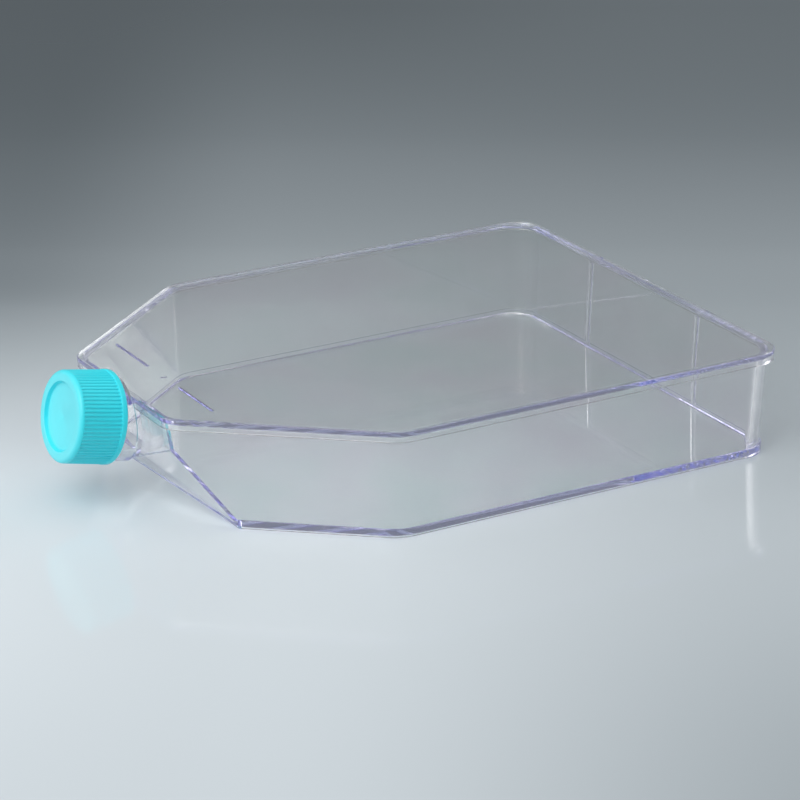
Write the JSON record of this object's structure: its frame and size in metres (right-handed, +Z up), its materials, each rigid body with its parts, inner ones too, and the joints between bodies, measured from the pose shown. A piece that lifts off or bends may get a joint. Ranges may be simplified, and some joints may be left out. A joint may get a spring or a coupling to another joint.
{
  "type": "cell culture flask",
  "caption": "Wide, flat clear plastic cell culture flask with a tapered shoulder, a rimmed top plate, a canted neck and a ribbed turquoise screw cap.",
  "frame": {"origin": "on the bench, under the centre of the flask's overall length and width", "axes": "+X from the neck towards the closed end, +Y across the flask, +Z up from the bench"},
  "size_m": [0.2466, 0.174, 0.0485],
  "materials": {
    "clear_polystyrene": "clear, polished",
    "turquoise_polyethylene": "satin",
    "white_foam": "matte"
  },
  "bodies": {
    "flask": {"flask_body": "clear_polystyrene", "top_plate": "clear_polystyrene"},
    "liner": {"seal_liner": "white_foam"},
    "cap": {"screw_cap": "turquoise_polyethylene"}
  },
  "joints": [
    {"name": "cap_rise", "type": "slide", "parent": "flask", "child": "liner", "axis": [-0.9796, 0, 0.2011], "range_m": [0, 0.008]},
    {"name": "cap_turn", "type": "hinge", "parent": "liner", "child": "cap", "pos_m": [-0.11054, 0, 0.03092], "axis": [-0.9796, 0, 0.2011], "range_deg": [0, 720]}
  ],
  "couplings": [
    {"joint": "cap_rise", "follows": "cap_turn", "m_per_rad": 0.00063661}
  ]
}
